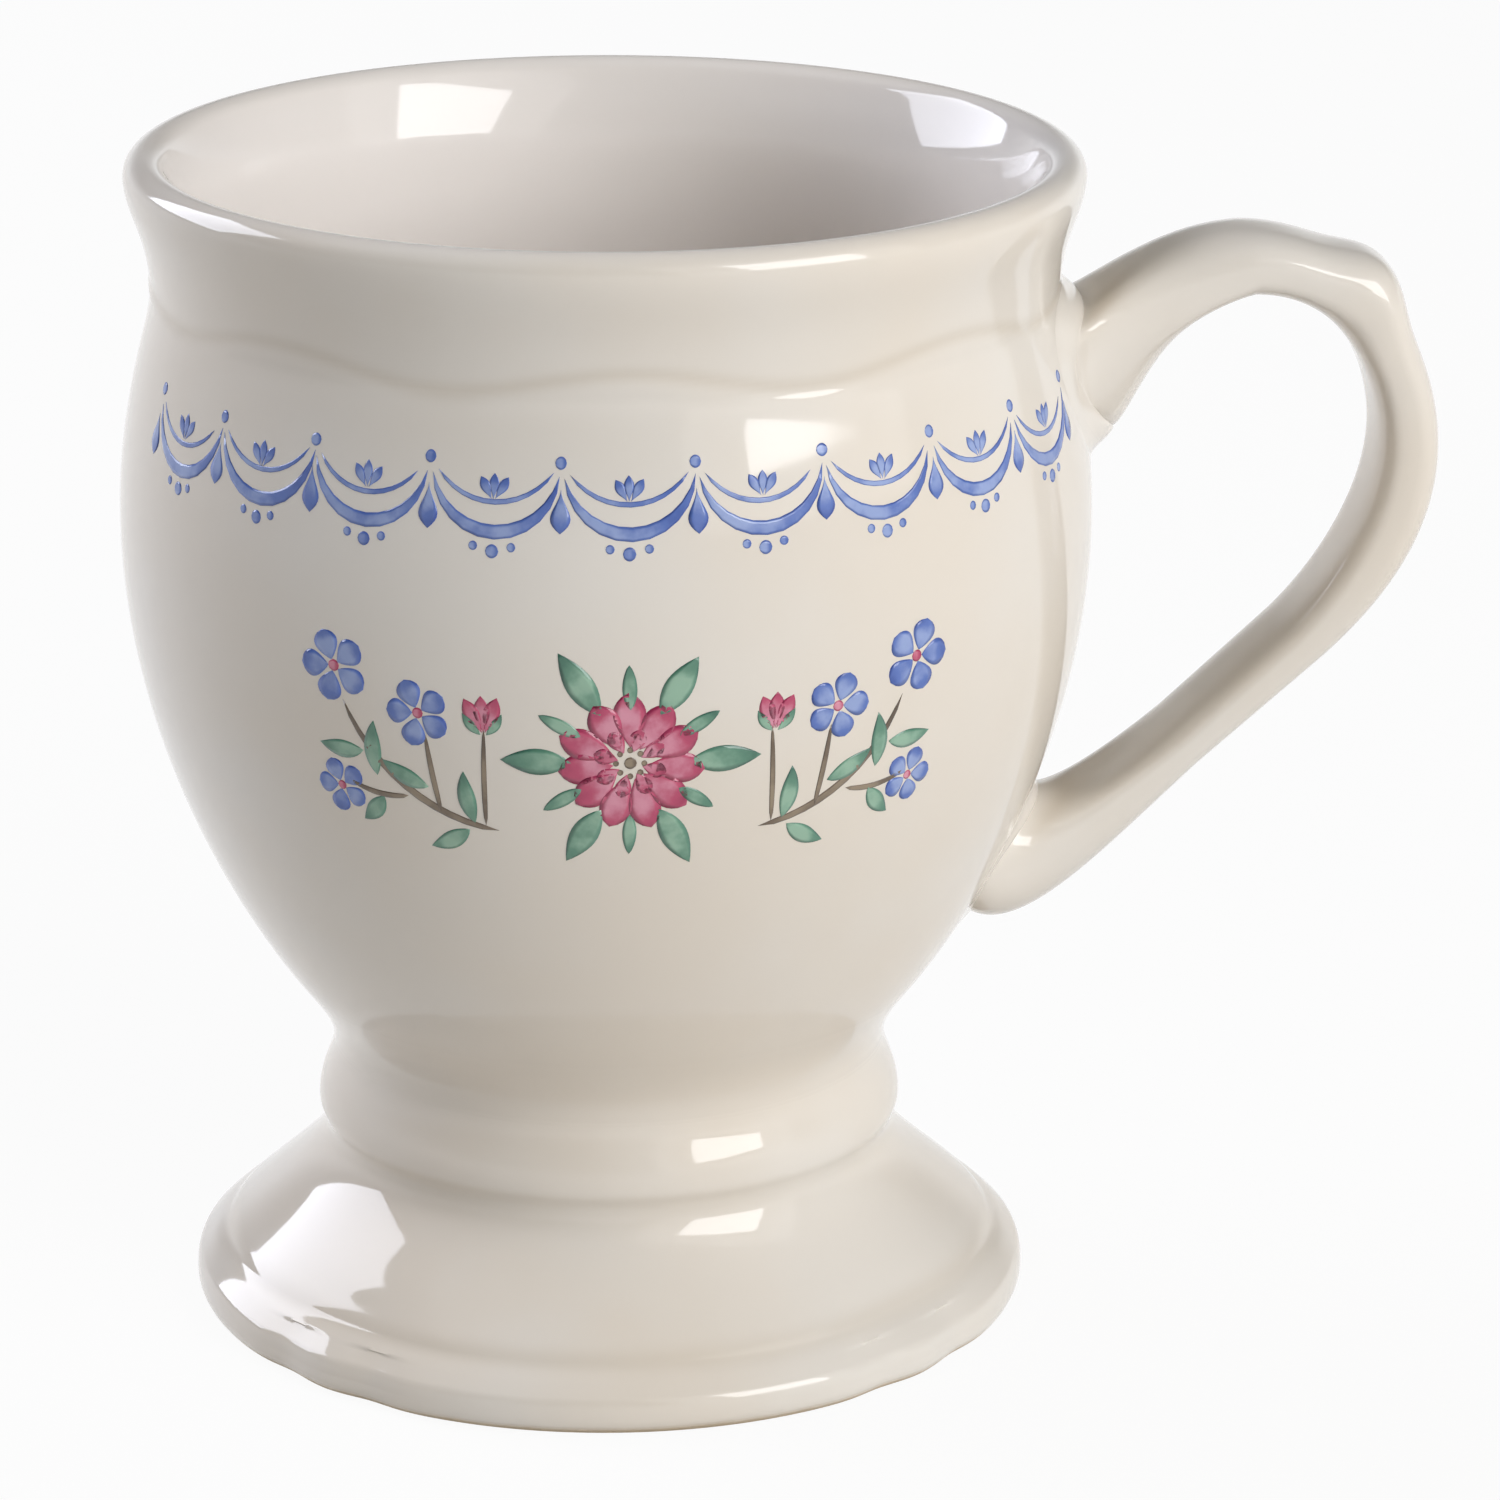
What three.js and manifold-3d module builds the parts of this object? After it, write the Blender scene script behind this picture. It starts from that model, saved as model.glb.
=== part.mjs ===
// Pedestal mug: a round bowl joined with slip to a hollow lobed foot, and a loop
// handle joined with slip to the bowl's side. Lengths are in millimetres, +Z is up,
// the foot stands on z = 0 and the handle points along +X.

import * as THREE from 'three';
import { mergeVertices } from 'three/addons/utils/BufferGeometryUtils.js';
import Module from 'manifold-3d';

// Bowl, from its lip down to its flat base
const mugHeight = 110;
const lipRadius = 43.7; // outside of the rolled lip
const lipRoll = 1.94; // radius of the roll
const neckRadius = 41.55;
const neckDrop = 13; // below the top of the lip
const bellyRadius = 44.8;
const bellyRise = 51; // above the waist
const coveSwell = 3.5; // past the waist, where the hollow curve turns into the belly
const coveRise = 7; // above the waist
const bowlWall = 3.9;
const bowlFloor = 6.2;

// Wavy step in relief round the neck
const reliefRise = 2.3; // above the neck's narrowest ring
const reliefStep = 0.35;
const reliefSwing = 1.3; // how far the line rises and falls
const reliefWaves = 8;

// Waist, where the bowl sits on the foot
const waistRadius = 26.1;
const waistHeight = 25;
const waistSlip = 0.4; // thickness of the joint
const waistSlipRecess = 0.25; // how far the joint stays inside the crease

// Foot
const footRadius = 39.5;
const footRoll = 2; // radius of the rounded edge
const footRing = 4.2; // width of the flat ring that touches the table
const collarSwell = 1.4; // the half-round band under the waist, past the waist
const collarDrop = 6; // its widest ring, below the waist
const grooveSwell = 0.7; // the groove under that band, past the waist
const grooveDrop = 8.5; // below the waist
const skirtInset = 3.1; // where the foot's hollow curve becomes straight, inside its edge
const skirtRise = 6; // above the table
const waistWall = 6.5; // thickness of the foot at the waist
const recessKneeRise = 5; // height up to which the recess underneath narrows slowly
const recessKneeInset = 3; // how much it narrows there
const lobeDepth = 1; // the notches beside each corner of the foot
const lobeNotchAngle = 7.5; // degrees from a corner to each of its notches
const lobeNotchWidth = 4; // degrees
const lobeCorners = 4;
const lobeFade = 8; // height over which the lobes die away, above the skirt

// Handle: a strap with a thumb rest, fanning out where it meets the bowl
const upperJointDrop = 14.6; // lip down to the top edge of the upper joint
const upperJointLength = 15.4;
const upperJointWidth = 24;
const lowerJointRise = 10.2; // waist up to the toe of the lower joint
const lowerJointLength = 11.6;
const lowerJointWidth = 19;
const strapThickness = 6.6;
const strapWidth = 14.4;
const archReach = 13.9; // belly out to the top of the arch
const archRise = 6.95; // above the top edge of the upper joint
const gripReach = 32.3; // belly out to the outermost point
const gripDrop = 14.1; // outermost point, below the top edge of the upper joint
const bendInset = 10.8; // the straight arm starts this far inside the outermost point
const bendDrop = 21.2; // and this far below it
const toeStand = 8.2; // how far the toe of the arm stands off the bowl
const toeDepth = 1.5; // the toe's roundness, below the arm's end
const thumbRise = 2; // the bump that the thumb rests on
const jointBite = 2; // how far the strap's ends run into the joints
const jointSlip = 0.4; // thickness of each handle joint
const jointGap = 0.3; // clearance on each side of it

// Smoothness
const roundSteps = 64;
const footSteps = 96;
const rowSpacing = 7; // between the rings of a turned piece
const leastRows = 3; // on any curve of one
const strapSpacing = 3; // between the sections of the strap
const strapSides = 16;

const glaze = { color: 0xdcd4c8, roughness: 0.18, metalness: 0 };
const slip = { color: 0xd2c6b2, roughness: 0.6, metalness: 0 };

const wasm = await Module();
wasm.setup();

// Heights that several pieces share
const lipHeight = mugHeight - lipRoll;
const neckHeight = mugHeight - neckDrop;
const reliefHeight = neckHeight + reliefRise;
const bellyHeight = waistHeight + bellyRise;
const coveHeight = waistHeight + coveRise;
const coveRadius = waistRadius + coveSwell;
const bowlBase = waistHeight + waistSlip / 2;
const footTop = waistHeight - waistSlip / 2;
const floorHeight = bowlBase + bowlFloor;
const recessTopRadius = waistRadius - waistWall;

const degrees = THREE.MathUtils.degToRad;
const point = (radius, height) => new THREE.Vector2(radius, height);

// A smooth curve from one point to another that leaves and arrives along given pulls.
function pulled(from, leave, arrive, to) {
  const out = from.clone().add(leave);
  const back = to.clone().sub(arrive);
  return new THREE.CubicBezierCurve(from, out, back, to);
}

// The bowl's outer side, from its base up to the lip, as a list of curves.
function bowlSideCurves() {
  const base = point(waistRadius, bowlBase);
  const cove = point(coveRadius, coveHeight);
  const belly = point(bellyRadius, bellyHeight);
  const neck = point(neckRadius, neckHeight);
  const lip = point(lipRadius, lipHeight);
  const coveSpan = coveHeight - bowlBase;
  const flankSpan = bellyHeight - coveHeight;
  const shoulderSpan = neckHeight - bellyHeight;
  const neckSpan = lipHeight - neckHeight;
  const coveOut = point(coveRadius - waistRadius, coveSpan).multiplyScalar(0.2);
  const lipOut = lipRadius - neckRadius;
  const stepFoot = point(neckRadius + 0.1 * lipOut, reliefHeight - reliefStep / 2);
  const stepHead = point(stepFoot.x - reliefStep, reliefHeight + reliefStep / 2);
  return [
    pulled(base, point(0, 0.42 * coveSpan), coveOut, cove),
    pulled(cove, coveOut.clone().multiplyScalar(0.6), point(0, 0.56 * flankSpan), belly),
    pulled(belly, point(0, 0.52 * shoulderSpan), point(0, 0.15 * shoulderSpan), neck),
    new THREE.LineCurve(neck, stepFoot),
    new THREE.LineCurve(stepFoot, stepHead),
    pulled(stepHead, point(0.2 * lipOut, 0.4 * neckSpan), point(0, 0.2 * neckSpan), lip),
  ];
}

// The bowl's inside, from the lip down to the middle of the floor.
function bowlInsideCurves() {
  const lip = point(lipRadius - 2 * lipRoll, lipHeight);
  const neck = point(neckRadius - bowlWall, neckHeight);
  const belly = point(bellyRadius - bowlWall, bellyHeight);
  const floor = point(0, floorHeight);
  const neckSpan = lipHeight - neckHeight;
  const shoulderSpan = neckHeight - bellyHeight;
  const flankSpan = bellyHeight - floorHeight;
  return [
    pulled(lip, point(0, -0.4 * neckSpan), point(0, -0.4 * neckSpan), neck),
    pulled(neck, point(0, -0.3 * shoulderSpan), point(0, -0.5 * shoulderSpan), belly),
    pulled(belly, point(0, -0.68 * flankSpan), point(-0.62 * belly.x, 0), floor),
  ];
}

// How many steps a curve takes: a straight one needs no points between its ends.
function stepsFor(curve, spacing) {
  const count = Math.max(leastRows, Math.round(curve.getLength() / spacing));
  return curve.isLineCurve ? 1 : count;
}

// The points along a run of curves, without repeats where two curves meet.
function pointsAlong(curves) {
  const points = [curves[0].getPoint(0)];
  for (const curve of curves) {
    points.push(...curve.getPoints(stepsFor(curve, rowSpacing)).slice(1));
  }
  return points;
}

// Half a circle, from the lip's outer side over the top to its inner side.
function lipArc() {
  const arc = new THREE.EllipseCurve(lipRadius - lipRoll, lipHeight, lipRoll, lipRoll, 0, Math.PI);
  return arc.getPoints(2 * leastRows).slice(1, -1);
}

const bowlSide = pointsAlong(bowlSideCurves());

// The bowl's outer radius at a given height.
function bowlRadiusAt(height) {
  const above = bowlSide.findIndex((spot) => spot.y >= height);
  const high = bowlSide[above];
  const low = bowlSide[above - 1];
  return THREE.MathUtils.mapLinear(height, low.y, high.y, low.x, high.x);
}

// A profile moved outward by a distance, square to itself.
function profileMovedOut(profile, distance) {
  return profile.map((spot, index) => {
    const before = profile[Math.max(index - 1, 0)];
    const after = profile[Math.min(index + 1, profile.length - 1)];
    const along = after.clone().sub(before).normalize();
    return point(spot.x + along.y * distance, spot.y - along.x * distance);
  });
}

// A solid turned round the Z axis, with its shared vertices merged.
function turned(profile, steps) {
  const lathe = new THREE.LatheGeometry(profile, steps);
  lathe.rotateX(Math.PI / 2);
  return welded(lathe);
}

function welded(geometry) {
  geometry.deleteAttribute('normal');
  geometry.deleteAttribute('uv');
  return mergeVertices(geometry, 1e-4);
}

// Moves every vertex by a rule that takes radius, height and angle and gives the first two back.
function reshaped(geometry, rule) {
  const places = geometry.getAttribute('position');
  const spot = new THREE.Vector3();
  for (let index = 0; index < places.count; index += 1) {
    spot.fromBufferAttribute(places, index);
    const angle = Math.atan2(spot.y, spot.x);
    const [radius, height] = rule(Math.hypot(spot.x, spot.y), spot.z, angle);
    places.setXYZ(index, radius * Math.cos(angle), radius * Math.sin(angle), height);
  }
  return geometry;
}

// Lets the step round the neck rise and fall in waves, dying away above and below it.
function waveNeck(radius, height, angle) {
  const onOutside = radius > neckRadius - bowlWall / 2;
  const reach = height > reliefHeight ? lipHeight - reliefHeight : 2 * (reliefHeight - neckHeight);
  const share = Math.max(0, 1 - Math.abs(height - reliefHeight) / reach);
  const swing = onOutside ? reliefSwing * share * Math.cos(reliefWaves * angle) : 0;
  return [radius, height + swing];
}

// Draws the foot's edge in beside each corner, so that it is lobed.
function lobeFoot(radius, height, angle) {
  const corner = 360 / lobeCorners;
  const turn = THREE.MathUtils.euclideanModulo(THREE.MathUtils.radToDeg(angle), corner);
  const fromCorner = Math.abs(turn - corner / 2);
  const notch = Math.exp(-(((fromCorner - lobeNotchAngle) / lobeNotchWidth) ** 2));
  const fade = 1 - THREE.MathUtils.smoothstep(height, skirtRise, skirtRise + lobeFade);
  const outside = THREE.MathUtils.smoothstep(radius, footRadius - footRoll - footRing, footRadius - footRoll);
  const depth = height < skirtRise ? outside : fade;
  return [radius - lobeDepth * notch * depth, height];
}

function solidOf(geometry) {
  const mesh = new wasm.Mesh({
    numProp: 3,
    vertProperties: geometry.getAttribute('position').array,
    triVerts: Uint32Array.from(geometry.index.array),
  });
  return new wasm.Manifold(mesh);
}

function geometryOf(solid) {
  const mesh = solid.getMesh();
  const geometry = new THREE.BufferGeometry();
  geometry.setAttribute('position', new THREE.BufferAttribute(mesh.vertProperties, mesh.numProp));
  geometry.setIndex(new THREE.BufferAttribute(mesh.triVerts, 1));
  return geometry;
}

function bowlGeometry() {
  const inside = pointsAlong(bowlInsideCurves());
  const profile = [point(0, bowlBase), ...bowlSide, ...lipArc(), ...inside];
  return reshaped(turned(profile, roundSteps), waveNeck);
}

// The room taken up by the bowl's outside, grown by a clearance.
function bowlRoom(clearance) {
  const side = profileMovedOut(bowlSide, clearance);
  const low = point(0, side[0].y);
  const high = point(0, side[side.length - 1].y);
  return solidOf(reshaped(turned([low, ...side, high], roundSteps), waveNeck));
}

// The foot's outside, from the waist down to the table.
function footSideCurves() {
  const waist = point(waistRadius, footTop);
  const collar = point(waistRadius + collarSwell, waistHeight - collarDrop);
  const groove = point(waistRadius + grooveSwell, waistHeight - grooveDrop);
  const skirt = point(footRadius - skirtInset, skirtRise);
  const collarSpan = waist.y - collar.y;
  const grooveSpan = collar.y - groove.y;
  const skirtOut = skirt.x - groove.x;
  const skirtSpan = groove.y - skirt.y;
  return [
    pulled(waist, point(0.1 * collarSwell, -0.35 * collarSpan), point(0, -0.4 * collarSpan), collar),
    pulled(collar, point(0, -0.5 * grooveSpan), point(-0.6 * grooveSpan, 0), groove),
    pulled(groove, point(0.1 * skirtOut, -0.36 * skirtSpan), point(0.56 * skirtOut, -0.45 * skirtSpan), skirt),
  ];
}

// The foot's rounded edge, from the skirt's side of it down to the table.
function footArc() {
  const start = degrees(48);
  const arc = new THREE.EllipseCurve(footRadius - footRoll, footRoll, footRoll, footRoll, start, -Math.PI / 2, true);
  return arc.getPoints(leastRows);
}

// The hollow under the foot, from the table up to the waist.
function footInsideCurves() {
  const mouth = point(footRadius - footRoll - footRing, 0);
  const knee = point(mouth.x - recessKneeInset, recessKneeRise);
  const top = point(recessTopRadius, footTop);
  const kneePull = point(-0.4 * recessKneeInset, recessKneeRise / 3);
  const span = footTop - recessKneeRise;
  return [
    pulled(mouth, point(0, recessKneeRise / 3), kneePull, knee),
    pulled(knee, point(-0.6 * (knee.x - top.x), 0.3 * span), point(0, 0.6 * span), top),
  ];
}

function footGeometry() {
  const side = pointsAlong(footSideCurves());
  const inside = pointsAlong(footInsideCurves());
  const loop = [...side, ...footArc(), ...inside];
  const profile = [...loop.reverse(), loop[0].clone()];
  return reshaped(turned(profile, footSteps), lobeFoot);
}

function waistSlipGeometry() {
  const outer = waistRadius - waistSlipRecess;
  const profile = [
    point(recessTopRadius, footTop),
    point(outer, footTop),
    point(outer, bowlBase),
    point(recessTopRadius, bowlBase),
    point(recessTopRadius, footTop),
  ];
  return turned(profile, roundSteps);
}

// The handle seen from the side: its outer and inner edges, as matching runs of curves
// from inside the upper joint to inside the lower one.
function handleEdges() {
  const jointTop = mugHeight - upperJointDrop;
  const jointToe = jointTop - upperJointLength;
  const armToe = waistHeight + lowerJointRise;
  const armTop = armToe + lowerJointLength;
  const upperOut = point(bowlRadiusAt(jointTop), jointTop);
  const upperIn = point(bowlRadiusAt(jointToe), jointToe);
  const archOut = point(bellyRadius + archReach, jointTop + archRise);
  const archIn = point(archOut.x + 0.1 * strapThickness, archOut.y - strapThickness);
  const gripOut = point(bellyRadius + gripReach, jointTop - gripDrop);
  const gripIn = point(gripOut.x - strapThickness, gripOut.y + 0.15 * strapThickness);
  const bendOut = point(gripOut.x - bendInset, gripOut.y - bendDrop);
  const toeOut = point(bowlRadiusAt(armToe + toeDepth) + toeStand, armToe + toeDepth);
  const arm = toeOut.clone().sub(bendOut);
  const armWay = arm.clone().normalize();
  const acrossArm = point(armWay.y, -armWay.x).multiplyScalar(strapThickness);
  const bendIn = bendOut.clone().add(acrossArm);
  const lowerOut = point(bowlRadiusAt(armToe), armToe);
  const lowerIn = point(bowlRadiusAt(armTop), armTop);
  const bite = point(jointBite, 0);
  const archSpan = archOut.x - upperOut.x;
  const innerSpan = archIn.x - upperIn.x;
  const innerRise = archIn.y - upperIn.y;
  const overOut = gripOut.clone().sub(archOut);
  const overIn = gripIn.clone().sub(archIn);
  const bendPull = arm.length() * 0.2;
  const outer = [
    new THREE.LineCurve(upperOut.clone().sub(bite), upperOut),
    pulled(upperOut, point(0.4 * archSpan, 0.6 * archRise), point(0.36 * archSpan, 0), archOut),
    pulled(archOut, point(0.65 * overOut.x, 0), point(0, 0.45 * overOut.y), gripOut),
    pulled(gripOut, point(0, -0.44 * bendDrop), armWay.clone().multiplyScalar(bendPull), bendOut),
    new THREE.LineCurve(bendOut, toeOut),
    pulled(toeOut, armWay.clone().multiplyScalar(toeDepth), point(-toeStand / 2, 0), lowerOut),
    new THREE.LineCurve(lowerOut, lowerOut.clone().sub(bite)),
  ];
  const buried = lowerIn.clone().sub(bite);
  const inner = [
    new THREE.LineCurve(upperIn.clone().sub(bite), upperIn),
    pulled(upperIn, point(0.36 * innerSpan, 0.06 * innerRise), point(0.74 * innerSpan, 0), archIn),
    pulled(archIn, point(0.72 * overIn.x, 0), point(0, 0.41 * overIn.y), gripIn),
    pulled(gripIn, point(0, -0.34 * bendDrop), armWay.clone().multiplyScalar(bendPull), bendIn),
    pulled(bendIn, arm.clone().multiplyScalar(0.65), point(0.15 * arm.x, 0.05 * arm.y), lowerIn),
    new THREE.LineCurve(lowerIn, buried),
    new THREE.LineCurve(buried, lowerOut.clone().sub(bite).add(point(0, jointBite))),
  ];
  return { outer, inner };
}

// How wide the strap is at a place along a stretch of it: it fans out at both joints.
function strapWidthAt(stretch, along) {
  const upperFan = [1, (1 - along) ** 3, 0, 0, 0, 0, 0][stretch];
  const lowerFan = [0, 0, 0, 0, along ** 3, 1, 1 - along / 3][stretch];
  const upperExtra = (upperJointWidth - strapWidth) * upperFan;
  const lowerExtra = (lowerJointWidth - strapWidth) * lowerFan;
  return strapWidth + upperExtra + lowerExtra;
}

// The thumb rest swells out of the strap's outer side, past the top of the arch.
function thumbSwellAt(stretch, along) {
  const isPastArch = stretch === 2;
  return isPastArch ? thumbRise * Math.exp(-(((along - 0.42) / 0.13) ** 2)) : 0;
}

// Sections along the handle, each with its middle, half its thickness as a vector and half its width.
function handleSections() {
  const { outer, inner } = handleEdges();
  const sections = [];
  outer.forEach((outerCurve, stretch) => {
    const longer = outerCurve.isLineCurve ? inner[stretch] : outerCurve;
    const steps = stepsFor(longer, strapSpacing);
    const first = stretch === 0 ? 0 : 1;
    for (let step = first; step <= steps; step += 1) {
      const along = step / steps;
      const inEdge = inner[stretch].getPoint(along);
      const across = outerCurve.getPoint(along).sub(inEdge);
      across.setLength(across.length() + thumbSwellAt(stretch, along));
      const half = across.multiplyScalar(0.5);
      sections.push({ middle: inEdge.add(half), half, wide: strapWidthAt(stretch, along) / 2 });
    }
  });
  return sections;
}

// A rounded rectangle's corner share: flatter than a circle on all four sides.
const squared = (share) => Math.sign(share) * Math.abs(share) ** 0.75;

// The whole strap as one closed bar, its ends still running into the bowl's side.
function strapSolid() {
  const sections = handleSections();
  const bar = new THREE.CylinderGeometry(1, 1, sections.length - 1, strapSides, sections.length - 1);
  const places = bar.getAttribute('position');
  for (let index = 0; index < places.count; index += 1) {
    const row = Math.round(places.getY(index) + (sections.length - 1) / 2);
    const { middle, half, wide } = sections[row];
    const outward = squared(places.getX(index));
    const sideways = squared(places.getZ(index));
    places.setXYZ(index, middle.x + half.x * outward, wide * sideways, middle.y + half.y * outward);
  }
  return solidOf(welded(bar));
}

// Part of the room between the bowl and the strap, on one side of the handle's mid height.
function heightBand(low, high) {
  const size = 2 * (bellyRadius + gripReach);
  const band = new THREE.BoxGeometry(size, size, high - low);
  band.translate(0, 0, (low + high) / 2);
  return solidOf(welded(band));
}

function piece(name, geometry, finish) {
  const mesh = new THREE.Mesh(geometry, new THREE.MeshStandardMaterial(finish));
  mesh.name = name;
  return mesh;
}

// The strap, and the two thin pads of slip between it and the bowl.
function handlePieces() {
  const strap = strapSolid();
  const layer = bowlRoom(jointGap + jointSlip).subtract(bowlRoom(jointGap));
  const pads = strap.intersect(layer);
  const middle = mugHeight - upperJointDrop - gripDrop - bendDrop / 2;
  const handle = strap.subtract(bowlRoom(2 * jointGap + jointSlip));
  const upperPad = pads.intersect(heightBand(middle, mugHeight));
  const lowerPad = pads.intersect(heightBand(0, middle));
  return [
    piece('handle', geometryOf(handle), glaze),
    piece('upper_handle_slip', geometryOf(upperPad), slip),
    piece('lower_handle_slip', geometryOf(lowerPad), slip),
  ];
}

// The origin is under the middle of the whole mug, handle included.
const mug = new THREE.Group();
mug.add(piece('bowl', bowlGeometry(), glaze));
mug.add(piece('pedestal', footGeometry(), glaze));
mug.add(piece('waist_slip', waistSlipGeometry(), slip));
mug.add(...handlePieces());
mug.position.x = -gripReach / 2;

export default mug;
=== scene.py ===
import math

import bmesh
import bpy
import numpy as np
from mathutils import Matrix, Vector


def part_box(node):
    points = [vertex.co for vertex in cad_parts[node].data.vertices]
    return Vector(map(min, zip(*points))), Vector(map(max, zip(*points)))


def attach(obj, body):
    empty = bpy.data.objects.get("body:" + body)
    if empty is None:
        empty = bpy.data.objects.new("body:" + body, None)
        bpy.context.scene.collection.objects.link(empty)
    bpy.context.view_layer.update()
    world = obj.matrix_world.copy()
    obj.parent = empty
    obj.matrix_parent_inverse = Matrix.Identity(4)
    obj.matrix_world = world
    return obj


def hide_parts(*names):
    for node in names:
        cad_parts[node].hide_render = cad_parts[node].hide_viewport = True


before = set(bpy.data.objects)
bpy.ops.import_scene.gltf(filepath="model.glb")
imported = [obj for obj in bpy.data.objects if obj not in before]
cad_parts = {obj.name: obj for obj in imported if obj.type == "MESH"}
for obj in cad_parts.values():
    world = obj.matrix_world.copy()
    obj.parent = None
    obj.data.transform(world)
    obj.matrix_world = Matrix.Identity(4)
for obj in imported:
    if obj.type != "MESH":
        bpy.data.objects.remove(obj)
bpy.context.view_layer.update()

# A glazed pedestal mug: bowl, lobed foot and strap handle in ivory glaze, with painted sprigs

MM = 0.001
BODY = "root"

# Sizes read from the frame, in millimetres from the bowl's axis and from the table
bowl_low, bowl_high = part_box("bowl")
foot_low, foot_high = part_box("pedestal")
handle_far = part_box("handle")[1]
AXIS_X = (bowl_low.x + bowl_high.x) / 2
MUG_HEIGHT = bowl_high.z / MM
BELLY_RADIUS = (bowl_high.y - bowl_low.y) / 2 / MM
BOWL_BASE = bowl_low.z / MM
FOOT_TOP = foot_high.z / MM
FOOT_RADIUS = (foot_high.y - foot_low.y) / 2 / MM
GRIP_RADIUS = (handle_far.x - AXIS_X) / MM

# Bowl, in millimetres
LIP_RADIUS = 43.7
LIP_ROLL = 1.94
LIP_HEIGHT = MUG_HEIGHT - LIP_ROLL
NECK_RADIUS = 41.55
NECK_HEIGHT = 97.0
BELLY_HEIGHT = 76.0
COVE_RADIUS = 29.6
COVE_HEIGHT = 32.0
WAIST_RADIUS = 26.1
BOWL_WALL = 3.9
INNER_FLARE = 28.0
INNER_LIP_PULL = 3.8
INNER_NECK_RISE = 3
FLOOR_HEIGHT = BOWL_BASE + 6.2
RELIEF_HEIGHT = 97.85
RELIEF_SWING = 0.95
RELIEF_STEP = 0.22
RELIEF_SOFTNESS = 1.5
RELIEF_WAVES = 8
RELIEF_FADE_LOW = 6.5
RELIEF_FADE_HIGH = 1.5
# Pooled glaze and painted shade along the neck's relief line
RELIEF_POOL_AND_SHADE = 0.6
RELIEF_POOL_AND_SHADE_PLACE = 0.35
RELIEF_POOL_AND_SHADE_SPREAD = 0.45
# Rows over which the inside's painted light fades in, each side of the lip's crown
INSIDE_PAINTED_LIGHT_ROWS = 12

# Foot, in millimetres and degrees
COLLAR_RADIUS = 27.55
COLLAR_HEIGHT = 19.0
GROOVE_RADIUS = 26.85
GROOVE_HEIGHT = 16.5
CREASE_RADIUS = 36.2
CREASE_HEIGHT = 6.15
FOOT_ROLL = 1.7
FOOT_RING = 4.2
RECESS_KNEE_INSET = 3.0
RECESS_KNEE_HEIGHT = 5.0
RECESS_TOP_RADIUS = 19.6
FOOT_CORNERS = 4
NOTCH_DEPTH = 0.45
NOTCH_ANGLE = 7.5
NOTCH_WIDTH = 4.5
CORNER_DEPTH = 0.7
CORNER_WIDTH = 13.0
CREASE_SPREAD = 2.5
# Pooled glaze and painted shade in the foot's crease and in the groove under its collar
CREASE_POOL_AND_SHADE = 0.4
CREASE_POOL_AND_SHADE_SPREAD = 0.8
GROOVE_POOL_AND_SHADE = 0.25
GROOVE_POOL_AND_SHADE_SPREAD = 1.2

# Handle, in millimetres
STRAP_HALF_WIDTH = 6.7
STRAP_THICKNESS = 6.6
STRAP_ROUNDNESS = 0.64
STRAP_DOME = 0.12
OUTER_SHAVE = 0.15
INNER_SHAVE = 0.65
ARM_BEND_OUT = (65.75, 60.75)
ARM_BEND_IN = (62.1, 64.6)
ARM_END_OUT = (55.3, 51.5)
ARM_END_IN = (52.0, 55.1)
UPPER_APPROACH = (-7.5, 0, 0)
LOWER_APPROACH = (-6.6, 0, -6.1)
THUMB_RISE = 2.0
THUMB_PLACE = 0.42
THUMB_SPREAD = 0.13
UPPER_PAD_HEIGHTS = (83.4, 95.6)
UPPER_PAD_HALF_WIDTH = 11.5
UPPER_SHOULDER_HEIGHT = 90.6
UPPER_SHOULDER_SPREAD = 5.9
LOWER_PAD_HEIGHTS = (36.7, 48.0)
LOWER_PAD_HALF_WIDTH = 9.0
LOWER_SHOULDER_OUT = 42.2
LOWER_SHOULDER_LEAN = 1.8
LOWER_SHOULDER_HOLLOW = 3.6
LOWER_SHOULDER_HEIGHT = 40.8
LOWER_SHOULDER_SPREAD = 7.0
PAD_LEAN = 0.55
PAD_SINK = 0.5
EDGE_SEAM = 0.5
SLIP_TUCK = 0.03
JOINT_EDGE_RINGS = 17
# Spread, in rings, of the pooled glaze and painted shade where the strap leaves each pad
CROOK_POOL_AND_SHADE_RINGS = 8

# Joints: the value at the sides, then what the top and the toe add, in millimetres or as a share
UPPER_SHOULDER_OUT = (43.2, 2.3, 5.4)
UPPER_RIM = (0.4, 1.6, 2.2)
UPPER_EDGE = (5.0, -2.4, -2.1)
LOWER_RIM = (0.2, 1.5, 0.8)
LOWER_EDGE = (3.6, -1.2, -2.4)
JOINT_REACH = (0.6, 0.4, 0.4)

# Painted band and sprigs, in millimetres and degrees
BORDER_SWAGS = 9
BORDER_PITCH = 12.0
BORDER_HEIGHT = 90.6
FLOWER_HEIGHT = 65.5
PAINT_LIFT = 0.03
PAINT_BODY = 0.08
FAN_GAP = 0.005
LEAST_BEND = 0.01
HAND_UNSTEADINESS = 3.0
LENGTH_UNSTEADINESS = 0.05
HAND_SEED = 7

# Fineness, with lengths in millimetres and angles in degrees
WELD = 0.002
TURNED_SHARP_ANGLE = 60
SKIN_SHARP_ANGLE = 40
STROKE_STEPS = 12
BOWL_STEPS = 256
FOOT_STEPS = 480
STRAP_SIDES = 64


class Field:
    """A value in a node tree. Arithmetic on it adds Math nodes to that tree."""

    def __init__(self, tree, socket):
        self.tree = tree
        self.socket = socket

    def __add__(self, other):
        return self.tree.math("ADD", self, other)

    def __radd__(self, other):
        return self.tree.math("ADD", other, self)

    def __sub__(self, other):
        return self.tree.math("SUBTRACT", self, other)

    def __rsub__(self, other):
        return self.tree.math("SUBTRACT", other, self)

    def __mul__(self, other):
        return self.tree.math("MULTIPLY", self, other)

    def __truediv__(self, other):
        return self.tree.math("DIVIDE", self, other)


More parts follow.
